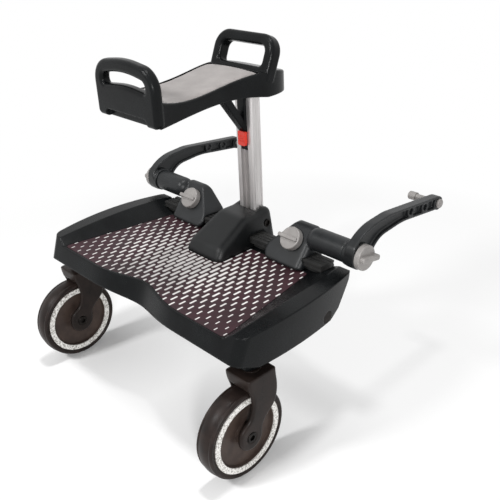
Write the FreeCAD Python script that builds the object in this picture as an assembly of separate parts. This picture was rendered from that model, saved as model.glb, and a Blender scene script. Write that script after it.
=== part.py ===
import FreeCAD, Part
import math
import os
from FreeCAD import Vector

# A two-wheeled buggy board with a saddle, in millimetres.
# Built about a datum on the mat surface, X to the right, Y forward, then stood on the floor.

# Layout
wheel_radius = 56.0
track_inset = 8.2
caster_setback = 60.0
caster_trail = 20.0
axle_drop = 118.0
arm_pivot_y = 100.0
arm_pivot_z = 36.0
post_y = 112.0

# Fits
running_gap = 0.05
seat_gap = 0.3
slide_gap = 0.4
swing_gap = 1.0
overrun = 30.0
least_edge = 0.0001

# Deck shell
deck_rear_inset = 6.0
deck_half_mid = 193.0
deck_front_inset = 14.0
deck_rear = 87.0
deck_side_front = 100.0
deck_nose_front = 126.0
rear_dip = 16.0
dip_half = 84.0
skirt_drop = 35.0
lip_drop = 20.0
lip_ramp = 34.0
lip_ramp_start = 62.0
skirt_wall = 3.2
floor_thickness = 4.0
rim_rear = 5.0
rim_mid = 13.0
rim_front = 9.0
rim_corner_radius = 12.0
tray_rear_inset = 27.0
tray_front_inset = 46.0
crest_rear_inset = 4.0
crest_front_inset = 5.0
crest_over = 3.0
shelf_margin = 2.0
tray_front = 70.0
rim_end_y = 99.0
rim_end_knee_y = 74.0
rim_end_knee_drop = 26.0
rim_end_foot_y = 58.0
rim_end_inset = 43.0
skirt_slope_share = 0.08
lip_slope_share = 0.4
rib_thickness = 2.6
rib_depth = 14.0
rib_cross_shares = (-0.45, 0.06, 0.5)
rib_long_shares = (-0.62, -0.24, 0.24, 0.62)

# Mat
mat_thickness = 1.8
mat_margin = 3.0
mat_front = 77.0
mat_corner_radius = 5.0

# Suspension arms and hinge pins
pivot_y = 50.0
pivot_drop = 26.0
arm_inset = 11.8
arm_width = 27.0
arm_eye_radius = 8.5
arm_boss_radius = 12.0
arm_boss_height = 20.0
arm_tail = 14.0
arm_tail_drop = 3.0
arm_tail_round = 6.0
arm_pocket_wall = 4.0
pin_radius = 4.0
pin_cap_radius = 7.5
pin_cap_depth = 2.0
bay_wall = 3.0
suspension_rise_deg = 3.5

# Suspension springs
spring_y = -22.0
spring_inset = 13.5
spring_mean_radius = 7.0
spring_wire_radius = 1.0
spring_turns = 4
coil_checks = 48
spring_length = 22.0
spring_pocket_radius = 9.5
spring_boss_radius = 5.0
spring_boss_height = 4.0

# Casters
bush_wall = 1.5
bush_flange = 1.5
bush_flange_radius = 11.0
kingpin_radius = 4.5
kingpin_head_radius = 7.0
kingpin_head = 3.0
crown_height = 13.0
crown_top_width = 42.0
fork_height = 74.0
cheek_thickness = 5.0
cheek_boss_radius = 17.0
cheek_round = 3.2
crown_round = 8.0
kingpin_cover = 3.0
axle_sink = 2.0
wheel_side_gap = 1.5
tyre_clearance = 3.0
cheek_waist_y_share = 0.1
cheek_waist_z_share = 0.64
cheek_heel_y_share = -0.06
cheek_heel_z_share = 0.29
cheek_front_y_share = 0.86
cheek_front_z_share = 0.36
cheek_chin_share = 0.74
cheek_chin_y_share = 1.0
cheek_top_share = -0.04

# Wheels and axles
wheel_width = 25.0
tread_edge_share = 0.66
sidewall_bulge = 0.6
tyre_bore = 48.0
bead_step = 2.0
tread_crown = 1.6
ring_inner = 40.5
ring_outer = 47.4
ring_thickness = 1.4
hub_rim_width = 22.0
hub_rim_inner = 40.0
hub_web = 15.0
hub_dish = 1.5
hub_boss_radius = 13.5
hub_draft = 1.0
hub_end_gap = 0.8
axle_radius = 4.0
axle_head_radius = 6.5
axle_head = 2.4
socket_radius = 3.8
socket_depth = 2.0
wheel_bush_wall = 2.0
wheel_bush_length = 9.0

# Connector rail
rail_inset = 42.0
rail_rear = 79.0
rail_front = 103.0
rail_height = 15.0
rail_head = 8.0
rail_foot_inset = 6.0
rail_groove = 2.4
rail_groove_depth = 1.0
rail_groove_count = 3
rail_screw_reach = 11.0
rail_screw_inset = 9.0

# Connector housings
leg_inner = 60.5
leg_outer = 124.0
leg_front = 66.0
leg_back = 116.0
leg_top = 48.0
leg_top_front = 103.0
leg_top_back = 112.0
leg_side = 17.0
leg_crest_x = 90.0
leg_corner_low = 10.0
leg_corner_side = 12.0
leg_corner_top = 14.0
leg_lift = 1.0
leg_shoulder = 40.0
leg_round = 9.0
leg_top_round = 7.2
leg_edge_round = 6.8
leg_rim_round = 3.0
tube_radius = 14.5
tube_start = 117.0
tube_inset = 17.0
tube_floor = 4.0
tube_insert = 9.0
tube_wall = 4.0
tube_core_half = 7.5
tube_round = 12.0
insert_radius = 6.5
slide_in = 22.0
slide_out = 8.0

# Knobs
clamp_x = 97.0
clamp_up = 30.0
clamp_radius = 14.5
clamp_height = 8.0
clamp_insert = 8.0
clamp_stud_reach = 13.0
grip_width = 5.0
grip_height = 2.6
grip_overhang = 3.5
grip_inset = 2.0
grip_round = 1.2
stud_radius = 4.0
arm_knob_radius = 15.5
arm_knob_height = 7.0
wing_height = 6.0
wing_width = 7.0
wing_overhang = 2.5
wing_round = 2.0
wing_turn_deg = -100.0
knob_round = 1.6
knob_end_share = 0.4
knob_core_share = 0.6

# Curved arms
arm_root = 5.0
beam_width = 13.0
beam_flange = 3.0
beam_recess = 5.0
hole_reach = 155.0
hole_rise = 15.5
hole_pitch = 30.0
hole_fall = 4.3
hole_count = 3
hole_radius = 4.1
hole_boss_radius = 7.0
tip_radius = 9.0
tip_nose = 4.0
tip_share = 0.8
eye_radius = 16.0
eye_rear_share = 0.9
eye_front_share = 0.75
eye_toe = 12.0
arch_heel = 12.0
arch_heel_round = 14.0
arch_shoulder_reach = 6.0
arch_shoulder = 31.0
arch_shoulder_round = 64.0
arch_reach = 53.0
arch_top = 35.0
arch_round = 60.0
arch_belly_reach = 78.0
arch_belly = 16.5
arch_belly_round = 100.0
arch_foot_reach = 28.0
arch_foot = 12.0
arch_foot_round = 32.0

# Hitch pins
hitch_head_radius = 6.0
hitch_head = 3.0
hitch_reach = 20.0
peg_radius = 5.5
peg_length = 11.0
hitch_chamfer = 1.0

# Tower
tower_half_base = 33.0
tower_half_top = 25.0
tower_front = 20.0
tower_back = 124.0
tower_top = 40.0
tower_collar = 46.0
tower_shelf = 76.0
tower_dip_y = 100.0
tower_nose_y = 29.0
tower_nose_z = 15.0
tower_round = 8.0
tower_nose_round = 12.0
tower_shelf_round = 20.0
tower_back_round = 9.5
tower_screw_front = 57.0
tower_screw_back = 115.0
tower_screw_half = 21.0
tower_screw_reach = 12.0
tower_wall = 4.0
tower_boss_radius = 5.0
tower_rail_gap = 0.4

# Post
post_width = 31.0
post_depth = 17.0
post_corner = 3.5
post_wall = 1.8
post_entry = 22.0
slot_mouth = 13.4
slot_width = 18.0
slot_lip = 1.8
slot_depth = 8.5
flute_radius = 0.9
flute_shares = (0.3, 0.7)
cross_bolt_z = 23.0
cross_bolt_radius = 2.5
cross_bolt_head_radius = 5.0
cross_bolt_head = 3.0
cross_bolt_face = 26.0

# Screws
screw_radius = 2.0
screw_head_radius = 4.0
screw_head = 2.2
screw_drive_radius = 1.4

# Saddle shell and pad
seat_bottom = 195.0
seat_low_rise = 2.0
seat_arch_y = 45.0
seat_arch_rise = 8.0
seat_arch_rear_rise = 7.0
seat_arch_rear_y = 8.0
seat_step_y = -30.0
seat_step_rise = 4.0
seat_arch_front_y = 80.0
seat_arch_front_rise = 5.5
seat_rear = 60.5
seat_far = 150.0
seat_half_rear = 53.5
seat_half_waist = 44.0
seat_half_far = 50.0
seat_waist_y = 40.0
seat_far_start = 108.0
seat_far_bulge_x = 39.0
seat_far_bulge_y = 138.0
seat_height = 36.0
seat_top_rise = 2.0
seat_dip = 10.0
seat_far_rise = 5.0
seat_tail_y = 128.0
seat_tail_fall = 3.0
seat_tail_end_fall = 9.0
seat_edge_round = 3.0
seat_wall = 3.0
seat_stations = 6
seat_rib_shares = (-0.1, 0.2, 0.52)
pad_border = 4.0
pad_thickness = 6.0
pad_crown = 2.0
pad_draw = 0.6
pad_rear = 51.5
pad_far = 93.0
pad_round = 2.0
pad_stations = 6
post_socket_wall = 3.0

# Saddle handles
handle_thickness = 13.0
handle_round = 4.5
near_handle_half = 54.5
near_handle_rise = 33.5
near_handle_corner = 26.0
near_handle_bow = 7.0
near_bow_round = 150.0
near_foot_corner = 6.0
near_grip_half = 39.0
near_grip_rise = 2.0
near_grip_height = 18.5
near_grip_bow = 4.0
near_grip_low_corner = 3.6
near_grip_high_corner = 7.5
near_arch_half = 38.0
near_arch_rise = 9.0
near_arch_corner = 6.0
far_handle_half = 51.0
far_handle_y = 99.0
far_handle_drop = 14.0
far_handle_rise = 42.0
far_handle_corner = 22.0
far_foot_corner = 6.0
far_grip_half = 37.0
far_grip_rise = 4.0
far_grip_height = 25.0
far_grip_low_corner = 6.0
far_grip_high_corner = 9.0
far_lean_deg = 22.0
far_handle_depth = 17.0

# Saddle brace and latch
brace_neck_proud = 3.0
brace_drop = 49.0
brace_foot_drop = 26.0
brace_head = 2.0
strut_top_y = 58.0
strut_depth = 9.0
strut_rise_share = 1.5
strut_width = 12.0
brace_flange = 3.0
brace_flange_width = 26.0
brace_flange_rear = 46.0
brace_flange_front = 80.0
brace_seat_rise = 12.0
brace_round = 4.0
brace_screw_y = 53.0
brace_screw_half = 8.0
brace_screw_reach = 6.0
latch_height = 19.0
latch_proud = 4.5
latch_press = 2.5
latch_pin = 2.0
latch_nub = 4.0
latch_step = 2.4
latch_stop = 1.3
latch_stem_half = 4.5
latch_round = 2.0
latch_ridge = 1.2
latch_ridge_count = 3
latch_ridge_pitch = 3.0
saddle_rise = 15.0

# Values that follow from the sizes above
deck_half_rear = deck_half_mid - deck_rear_inset
deck_half_front = deck_half_mid - deck_front_inset
tray_half_rear = deck_half_rear - tray_rear_inset
tray_half_front = deck_half_front - tray_front_inset
crest_half_rear = deck_half_rear - crest_rear_inset
crest_half_front = deck_half_front - crest_front_inset
rim_end_inner = deck_half_mid - rim_end_inset
arm_outer = deck_half_mid - arm_inset
track_half = arm_outer - track_inset
rail_half = deck_half_mid - rail_inset
rail_screw_x = rail_half - rail_screw_inset
tube_end = deck_half_mid - tube_inset
seat_low_rear = seat_bottom + seat_low_rise
seat_step = seat_bottom + seat_step_rise
seat_arch_rear = seat_bottom + seat_arch_rear_rise
seat_arch = seat_bottom + seat_arch_rise
seat_arch_front = seat_bottom + seat_arch_front_rise
seat_top_rear = seat_bottom + seat_height
seat_top_waist = seat_top_rear - seat_dip
seat_top_far = seat_top_waist + seat_far_rise
seat_tail_z = seat_top_far - seat_tail_fall
seat_tail_end_z = seat_top_far - seat_tail_end_fall
near_handle_top = seat_top_rear + near_handle_rise
near_grip_low = seat_top_rear + near_grip_rise
near_grip_high = near_grip_low + near_grip_height
far_handle_base = seat_top_far - far_handle_drop
far_handle_top = seat_top_far + far_handle_rise
far_grip_low = seat_top_far + far_grip_rise
far_grip_high = far_grip_low + far_grip_height
post_top = seat_bottom + post_entry
brace_seat = seat_bottom + brace_seat_rise
brace_low = seat_bottom - brace_drop
brace_foot = brace_low - brace_foot_drop
latch_low = brace_low - latch_height
floor_z = -(axle_drop + wheel_radius)
axle_y = -(caster_setback + caster_trail)
crown_z = fork_height - axle_drop
arm_boss_low = crown_z + seat_gap + bush_flange
front_reach = arm_pivot_y + hole_reach + tip_radius
rear_reach = wheel_radius - axle_y
stand = Vector(0, (rear_reach - front_reach)/2, -floor_z)
deck_under = -(mat_thickness + floor_thickness)
pivot = Vector(0, pivot_y, -pivot_drop)
arm_inner = arm_outer - arm_width
bay_inner = arm_inner - swing_gap - bay_wall
pin_cap_face = arm_outer + swing_gap + pin_cap_depth
bush_radius = kingpin_radius + running_gap + bush_wall
spring_x = arm_inner + spring_inset
spring_high = deck_under
spring_low = spring_high - spring_length
spring_pitch = (spring_length - 2*spring_wire_radius)/spring_turns
hub_start = tube_end + slide_gap
beam_inner = hub_start + arm_root
beam_outer = beam_inner + beam_width
arm_pivot = Vector(0, arm_pivot_y, arm_pivot_z)
leg_run = Vector(0, leg_top_front - leg_front, leg_top - leg_lift).normalize()
clamp_out = Vector(0, -leg_run.z, leg_run.y)
clamp_face = Vector(clamp_x, leg_front, leg_lift) + leg_run*((clamp_up - leg_lift)/leg_run.z)
stem = Vector(track_half, -caster_setback, 0)
axle = Vector(track_half, axle_y, -axle_drop)
fork_inner = wheel_width/2 + wheel_side_gap
fork_outer = fork_inner + cheek_thickness
rail_foot_rear = rail_rear + rail_foot_inset
rail_foot_front = rail_front - rail_foot_inset
rail_neck = rail_height - rail_head
seat_front_face = post_y - post_depth/2
latch_high = brace_low - seat_gap
brace_face = seat_front_face - brace_neck_proud
upright = Vector(0, 0, 1)
sideways = Vector(1, 0, 0)
forward = Vector(0, 1, 0)


def box(x_low, x_high, y_low, y_high, z_low, z_high):
    return Part.makeBox(x_high - x_low, y_high - y_low, z_high - z_low, Vector(x_low, y_low, z_low))


def rod(radius, start, end):
    return Part.makeCylinder(radius, (end - start).Length, start, end - start)


def line(start, end):
    return Part.LineSegment(start, end).toShape()


def arc(start, middle, end):
    return Part.Arc(start, middle, end).toShape()


def prism(edges, direction):
    return Part.Face(Part.Wire(edges)).extrude(direction)


def polygon(points):
    return Part.makePolygon(points + points[:1]).Edges


def mirrored(shape):
    return shape.mirror(Vector(0, 0, 0), sideways)


def rounded(corners):
    # Closed outline from (point, radius) corners, each rounded by a tangent arc.
    turns = []
    for index, (point, radius) in enumerate(corners):
        back = (corners[index - 1][0] - point).normalize()
        ahead = (corners[(index + 1) % len(corners)][0] - point).normalize()
        half_angle = back.getAngle(ahead)/2
        inward = (back + ahead).normalize()
        reach = radius/math.tan(half_angle)
        middle = point + inward*(radius/math.sin(half_angle) - radius)
        turns.append((point + back*reach, middle, point + ahead*reach, radius))
    edges = []
    for index, (start, middle, end, radius) in enumerate(turns):
        if radius > 0:
            edges.append(arc(start, middle, end))
        following = turns[(index + 1) % len(turns)][0]
        if (following - end).Length > least_edge:
            edges.append(line(end, following))
    return edges


def edges_along(shape, direction):
    # Straight edges that run along a direction.
    found = []
    for edge in shape.Edges:
        if edge.Curve.TypeId == "Part::GeomLine":
            run = edge.Curve.Direction
            if abs(run.dot(direction)) > math.cos(math.radians(1)):
                found.append(edge)
    return found


def rings_at(shape, x):
    # Round edges of a piece turned about X, in the plane at x.
    return [edge for edge in shape.Edges if edge.Closed and abs(edge.CenterOfMass.x - x) < least_edge]


def save(name, shape):
    placed = shape.copy()
    placed.translate(stand)
    placed.exportStep("parts/" + name + ".step")
    return placed


def both_sides(name, shape):
    save(name + "_right", shape)
    save(name + "_left", mirrored(shape))


# Deck shell
def deck_outline(z, inset):
    spread = z*skirt_slope_share - inset
    rear = z*lip_slope_share + inset - deck_rear
    half_rear = deck_half_rear + spread
    half_mid = deck_half_mid + spread
    half_front = deck_half_front + spread
    side_front = deck_side_front - inset
    wave = Part.BSplineCurve()
    points = [Vector(-dip_half, rear, z), Vector(0, rear + rear_dip, z), Vector(dip_half, rear, z)]
    wave.interpolate(Points=points, InitialTangent=sideways, FinalTangent=sideways)
    right_rear = Vector(half_rear, rear, z)
    right_front = Vector(half_front, side_front, z)
    left_rear = Vector(-half_rear, rear, z)
    left_front = Vector(-half_front, side_front, z)
    return Part.Wire([
        line(left_rear, points[0]),
        wave.toShape(),
        line(points[2], right_rear),
        arc(right_rear, Vector(half_mid, 0, z), right_front),
        arc(right_front, Vector(0, deck_nose_front - inset, z), left_front),
        arc(left_front, Vector(-half_mid, 0, z), left_rear),
    ])


def deck_block(z_low, z_high, inset):
    block = Part.makeLoft([deck_outline(z_low, inset), deck_outline(z_high, inset)], True, True)
    corners = []
    for edge in block.Edges:
        ends = [vertex.Point for vertex in edge.Vertexes]
        rises = abs(ends[0].z - ends[-1].z) > (z_high - z_low)/2
        if rises and abs(ends[0].x) > dip_half + overrun:
            corners.append(edge)
    return block.makeFillet(rim_corner_radius - inset, corners)


def rim_trim():
    # Everything above the line of the rims, which rises from rear and front to the middle.
    low = Vector(-deck_half_mid - overrun, -deck_rear - overrun, rim_rear)
    middle = Vector(low.x, 0, rim_mid)
    high = Vector(low.x, deck_nose_front + overrun, rim_front)
    lift = upright*(rim_mid + overrun)
    edges = [arc(low, middle, high), line(high, high + lift), line(high + lift, low + lift),
             line(low + lift, low)]
    return prism(edges, sideways*(2*(deck_half_mid + overrun)))


def tray_cut():
    # The sunk middle of the deck between the inner slopes of the rims.
    def half_at(y, half_rear, half_front):
        return half_rear + (half_front - half_rear)*(y + deck_rear)/(tray_front + deck_rear)
    levels = []
    for z, half_rear, half_front in ((0, tray_half_rear, tray_half_front),
                                     (rim_mid + crest_over, crest_half_rear, crest_half_front)):
        low = -deck_rear - overrun
        high = deck_nose_front + overrun
        near = half_at(low, half_rear, half_front)
        far = half_at(high, half_rear, half_front)
        levels.append(Part.Wire(polygon([Vector(-near, low, z), Vector(near, low, z),
                                         Vector(far, high, z), Vector(-far, high, z)])))
    return Part.makeLoft(levels, True, True)


def mat_outline(inset, z):
    rear = mat_margin + inset - deck_rear
    front = mat_front - inset

    def half_at(y):
        share = (y + deck_rear)/(tray_front + deck_rear)
        return tray_half_rear + (tray_half_front - tray_half_rear)*share - inset
    wave = Part.BSplineCurve()
    points = [Vector(-dip_half, rear, z), Vector(0, rear + rear_dip, z), Vector(dip_half, rear, z)]
    wave.interpolate(Points=points, InitialTangent=sideways, FinalTangent=sideways)
    right_rear = Vector(half_at(rear), rear, z)
    left_rear = Vector(-half_at(rear), rear, z)
    right_front = Vector(half_at(front), front, z)
    left_front = Vector(-half_at(front), front, z)
    return [line(left_rear, points[0]), wave.toShape(), line(points[2], right_rear),
            line(right_rear, right_front), line(right_front, left_front), line(left_front, left_rear)]


def tower_footprint(grow, z):
    half = tower_half_base + grow
    rear = tower_front - grow
    front = tower_back + grow
    round_rear = tower_nose_round + grow
    round_front = tower_round + grow
    return rounded([(Vector(-half, rear, z), round_rear), (Vector(half, rear, z), round_rear),
                    (Vector(half, front, z), round_front), (Vector(-half, front, z), round_front)])


def mat_body(inset, height):
    body = prism(mat_outline(inset, -mat_thickness), upright*height)
    corners = [edge for edge in edges_along(body, upright)
               if abs(edge.CenterOfMass.x) > dip_half + overrun/2]
    body = body.makeFillet(mat_corner_radius - inset, corners)
    return body.cut(prism(tower_footprint(inset, -mat_thickness - overrun), upright*(height + 2*overrun)))


def tower_screw_places():
    return [Vector(side*tower_screw_half, y, 0) for side in (-1, 1)
            for y in (tower_screw_front, tower_screw_back)]


def rail_screw_places():
    return [Vector(side*rail_screw_x, (rail_rear + rail_front)/2, 0) for side in (-1, 1)]


def deck_shell():
    span = deck_half_mid + overrun
    shell = deck_block(-skirt_drop, rim_mid + crest_over, 0)
    shell = shell.cut(rim_trim()).cut(tray_cut())
    shell = shell.cut(mat_body(0, overrun))
    shell = shell.cut(box(-rail_half - shelf_margin, rail_half + shelf_margin, mat_front + shelf_margin,
                          deck_nose_front + overrun, 0, rim_mid + overrun))
    hollow = deck_block(-skirt_drop - overrun, deck_under, skirt_wall)
    shell = shell.cut(hollow)
    stiffeners = []
    for share in rib_cross_shares:
        y = share*deck_rear
        stiffeners.append(box(-bay_inner, bay_inner, y, y + rib_thickness,
                              deck_under - rib_depth, deck_under))
    for share in rib_long_shares:
        x = share*deck_half_rear
        stiffeners.append(box(x - rib_thickness/2, x + rib_thickness/2, -deck_rear, deck_nose_front,
                              deck_under - rib_depth, deck_under))
    for side in (-1, 1):
        near = min(side*bay_inner, side*(bay_inner + bay_wall))
        stiffeners.append(box(near, near + bay_wall, -deck_rear, rim_end_y, -skirt_drop, deck_under))
        seat = Vector(side*spring_x, spring_y, deck_under)
        stiffeners.append(rod(spring_boss_radius, seat, seat - upright*spring_boss_height))
    shell = shell.fuse([hollow.common(piece) for piece in stiffeners])
    rear = -deck_rear - overrun
    lip = polygon([Vector(-span, rear, -lip_drop),
                   Vector(-span, -lip_ramp_start - lip_ramp, -lip_drop),
                   Vector(-span, -lip_ramp_start, -skirt_drop),
                   Vector(-span, -lip_ramp_start, -skirt_drop - overrun),
                   Vector(-span, rear, -skirt_drop - overrun)])
    shell = shell.cut(prism(lip, sideways*(2*span)))
    for side in (-1, 1):
        start = side*rim_end_inner
        slope = polygon([Vector(start, rim_end_y, rim_mid + overrun),
                         Vector(start, rim_end_y, rim_front),
                         Vector(start, rim_end_knee_y, -rim_end_knee_drop),
                         Vector(start, rim_end_foot_y, -skirt_drop),
                         Vector(start, rim_end_foot_y, -skirt_drop - overrun),
                         Vector(start, deck_nose_front + overrun, -skirt_drop - overrun),
                         Vector(start, deck_nose_front + overrun, rim_mid + overrun)])
        shell = shell.cut(prism(slope, sideways*(side*(span - rim_end_inner))))
        cap = rod(pin_cap_radius + seat_gap, pivot + sideways*(side*pin_cap_face),
                  pivot + sideways*(side*span))
        shell = shell.cut(cap)
    shell = shell.cut(rod(pin_radius + running_gap, pivot - sideways*span, pivot + sideways*span))
    for place in tower_screw_places() + rail_screw_places():
        shell = shell.cut(rod(screw_radius + running_gap, place - upright*overrun, place + upright*overrun))
        under = Vector(place.x, place.y, deck_under)
        room = upright*(screw_head + swing_gap)
        shell = shell.cut(rod(screw_head_radius + swing_gap, under, under - room))
    return shell.removeSplitter()


# Screws, all driven upward
def screw(place, under, reach):
    seat = Vector(place.x, place.y, under)
    shank = rod(screw_radius, seat, seat + upright*reach)
    head = rod(screw_head_radius, seat - upright*screw_head, seat)
    drive = rod(screw_drive_radius, seat - upright*screw_head, seat - upright*(screw_head/2))
    return shank.fuse(head).cut(drive)


# Hinge pins of the suspension arms
def hinge_pin():
    inner = pivot + sideways*bay_inner
    face = pivot + sideways*pin_cap_face
    cap = rod(pin_cap_radius, face, face + sideways*pin_cap_depth)
    return rod(pin_radius, inner, face).fuse(cap)


# Suspension arms
def suspension_arm():
    eye_low = Vector(arm_inner, pivot_y, -pivot_drop - arm_eye_radius)
    eye_high = Vector(arm_inner, pivot_y, -pivot_drop + arm_eye_radius)
    tail = -caster_setback - arm_tail
    boss_high = arm_boss_low + arm_boss_height
    slab = prism(polygon([eye_low, eye_high, Vector(arm_inner, -caster_setback, boss_high),
                          Vector(arm_inner, tail, boss_high - arm_tail_drop),
                          Vector(arm_inner, tail, arm_boss_low + arm_tail_drop),
                          Vector(arm_inner, -caster_setback, arm_boss_low)]), sideways*arm_width)
    eye = rod(arm_eye_radius, pivot + sideways*arm_inner, pivot + sideways*arm_outer)
    arm = slab.fuse(eye)
    edges = [edge for edge in edges_along(arm, upright) if edge.CenterOfMass.y < -caster_setback]
    arm = arm.makeFillet(arm_tail_round, edges)
    spring_seat = Vector(spring_x, spring_y, spring_low)
    well = rod(spring_pocket_radius, spring_seat, spring_seat + upright*overrun)
    arm = arm.cut(well)
    around_spring = spring_pocket_radius + arm_pocket_wall
    ahead = (spring_y + around_spring, pivot_y - arm_eye_radius - arm_pocket_wall)
    behind = (arm_boss_radius + arm_pocket_wall - caster_setback, spring_y - around_spring)
    for low, high in (ahead, behind):
        arm = arm.cut(box(arm_inner + arm_pocket_wall, arm_outer - arm_pocket_wall, low, high,
                          spring_low, overrun))
    arm = arm.cut(rod(pin_radius + running_gap, pivot, pivot + sideways*deck_half_mid))
    foot = stem + upright*(arm_boss_low - overrun)
    return arm.cut(rod(bush_radius + running_gap, foot, foot + upright*(2*overrun + arm_boss_height)))


def swivel_bush():
    low = stem + upright*arm_boss_low
    flange = rod(bush_flange_radius, low - upright*bush_flange, low)
    tube = rod(bush_radius, low, low + upright*arm_boss_height)
    bore = rod(kingpin_radius + running_gap, low - upright*overrun, low + upright*(2*overrun))
    return tube.fuse(flange).cut(bore)


def tangent_arc(start, run, end):
    # Arc that leaves start along run and ends at end.
    chord = end - start
    across = (run - chord*(run.dot(chord)/chord.dot(chord))).normalize()
    bow = chord.Length/2*math.tan(run.getAngle(chord)/2)
    return arc(start, (start + end)/2 + across*bow, end)


def on_coil(turn):
    angle = 2*math.pi*turn
    around = Vector(math.cos(angle), math.sin(angle), 0)*spring_mean_radius
    return Vector(spring_x, spring_y, spring_low + spring_wire_radius + spring_pitch*turn) + around


def coil_heading(turn):
    angle = 2*math.pi*turn
    around = Vector(-math.sin(angle), math.cos(angle), 0)*(2*math.pi*spring_mean_radius)
    return (around + upright*spring_pitch).normalize()


def coil_spring():
    # One unbroken wire on biarcs, two tangent arcs to each quarter turn.
    edges = []
    for quarter in range(4*spring_turns):
        start = on_coil(quarter/4)
        end = on_coil((quarter + 1)/4)
        leave = coil_heading(quarter/4)
        arrive = coil_heading((quarter + 1)/4)
        chord = end - start
        spread = chord.dot(leave + arrive)
        lean = 1 - leave.dot(arrive)
        reach = (math.sqrt(spread*spread + 2*lean*chord.dot(chord)) - spread)/(2*lean)
        joint = (start + end + (leave - arrive)*reach)/2
        edges.append(tangent_arc(start, leave, joint))
        edges.append(tangent_arc(joint, chord - (leave + arrive)*reach, end))
    ring = Part.Wire(Part.makeCircle(spring_wire_radius, on_coil(0), coil_heading(0)))
    return Part.Wire(edges).makePipeShell([ring], True, False)


def coil_gap():
    # Least gap between the wire and its own next turns, measured on points.
    steps = spring_turns*coil_checks
    points = [on_coil(step/coil_checks) for step in range(steps + 1)]
    apart = [(points[low] - points[high]).Length for low in range(steps + 1)
             for high in range(low + coil_checks//2, steps + 1)]
    return min(apart) - 2*spring_wire_radius


# Casters
def kingpin():
    low = stem + upright*(crown_z - crown_height + kingpin_cover)
    high = stem + upright*(arm_boss_low + arm_boss_height + seat_gap)
    return rod(kingpin_radius, low, high).fuse(rod(kingpin_head_radius, high, high + upright*kingpin_head))


def cheek_face(x):
    # One side of the fork as a swept S with a round axle boss, drawn in the plane at x.
    def at(y_share, z_share):
        return Vector(x, axle_y + y_share*crown_top_width, -axle_drop + z_share*fork_height)
    top_rear = at(cheek_top_share, 1)
    top_front = at(1 + cheek_top_share, 1)
    boss_rear = Vector(x, axle_y - cheek_boss_radius, -axle_drop)
    boss_front = Vector(x, axle_y + cheek_boss_radius, -axle_drop)
    rear = Part.BSplineCurve()
    rear.interpolate(Points=[top_rear, at(cheek_waist_y_share, cheek_waist_z_share),
                             at(cheek_heel_y_share, cheek_heel_z_share), boss_rear],
                     InitialTangent=-upright, FinalTangent=-upright)
    front = Part.BSplineCurve()
    front.interpolate(Points=[boss_front, at(cheek_front_y_share, cheek_front_z_share),
                              at(cheek_chin_y_share, cheek_chin_share), top_front],
                      InitialTangent=upright, FinalTangent=upright)
    under = Vector(x, axle_y, -axle_drop - cheek_boss_radius)
    return Part.Face(Part.Wire([rear.toShape(), arc(boss_rear, under, boss_front), front.toShape(),
                                line(top_front, top_rear)]))


def fork():
    pieces = []
    for side in (-1, 1):
        inner = axle.x + side*fork_inner
        cheek = cheek_face(inner).extrude(sideways*(side*cheek_thickness))
        rim = [edge for edge in cheek.Edges
               if all(abs(vertex.X - axle.x - side*fork_outer) < least_edge for vertex in edge.Vertexes)
               and edge.CenterOfMass.z < crown_z - least_edge]
        pieces.append(cheek.makeFillet(cheek_round, rim))
    rear = axle_y + cheek_top_share*crown_top_width
    crown = box(axle.x - fork_outer, axle.x + fork_outer, rear, rear + crown_top_width,
                crown_z - crown_height, crown_z)
    crown = crown.makeFillet(crown_round, edges_along(crown, upright))
    body = crown.fuse(pieces)
    room = sideways*fork_inner
    body = body.cut(rod(wheel_radius + tyre_clearance, axle - room, axle + room))
    body = body.cut(rod(axle_radius + running_gap, axle - sideways*overrun, axle + sideways*overrun))
    for side in (-1, 1):
        face = axle + sideways*(side*(fork_outer - axle_sink))
        body = body.cut(rod(axle_head_radius + seat_gap, face, face + sideways*(side*overrun)))
    low = stem + upright*(crown_z - crown_height + kingpin_cover)
    return body.cut(rod(kingpin_radius + running_gap, low, low + upright*overrun))


def axle_pin():
    reach = fork_outer - axle_sink
    pin = rod(axle_radius, axle - sideways*reach, axle + sideways*reach)
    for side in (-1, 1):
        face = axle + sideways*(side*reach)
        top = face + sideways*(side*axle_head)
        head = rod(axle_head_radius, face, top)
        head = head.makeChamfer(axle_head/4, rings_at(head, top.x))
        drive = []
        for step in range(6):
            angle = math.radians(60*step)
            drive.append(top + Vector(0, socket_radius*math.cos(angle), socket_radius*math.sin(angle)))
        pin = pin.fuse(head).cut(prism(polygon(drive), sideways*(-side*socket_depth)))
    return pin


# Wheels
def turned(edges):
    return Part.Face(Part.Wire(edges)).revolve(axle, sideways, 360)


def at_wheel(x, radius):
    return axle + Vector(x, 0, radius)


def tyre():
    half = wheel_width/2
    bead = hub_rim_width/2
    shoulder = half*tread_edge_share
    edge_radius = wheel_radius - tread_crown
    low = tyre_bore + bead_step
    bulge = half + sidewall_bulge - wheel_side_gap/2
    middle = (low + edge_radius)/2
    return turned([
        line(at_wheel(-bead, tyre_bore), at_wheel(bead, tyre_bore)),
        line(at_wheel(bead, tyre_bore), at_wheel(half - bead_step/2, low)),
        arc(at_wheel(half - bead_step/2, low), at_wheel(bulge, middle), at_wheel(shoulder, edge_radius)),
        arc(at_wheel(shoulder, edge_radius), at_wheel(0, wheel_radius), at_wheel(-shoulder, edge_radius)),
        arc(at_wheel(-shoulder, edge_radius), at_wheel(-bulge, middle), at_wheel(-half + bead_step/2, low)),
        line(at_wheel(-half + bead_step/2, low), at_wheel(-bead, tyre_bore)),
    ])


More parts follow.
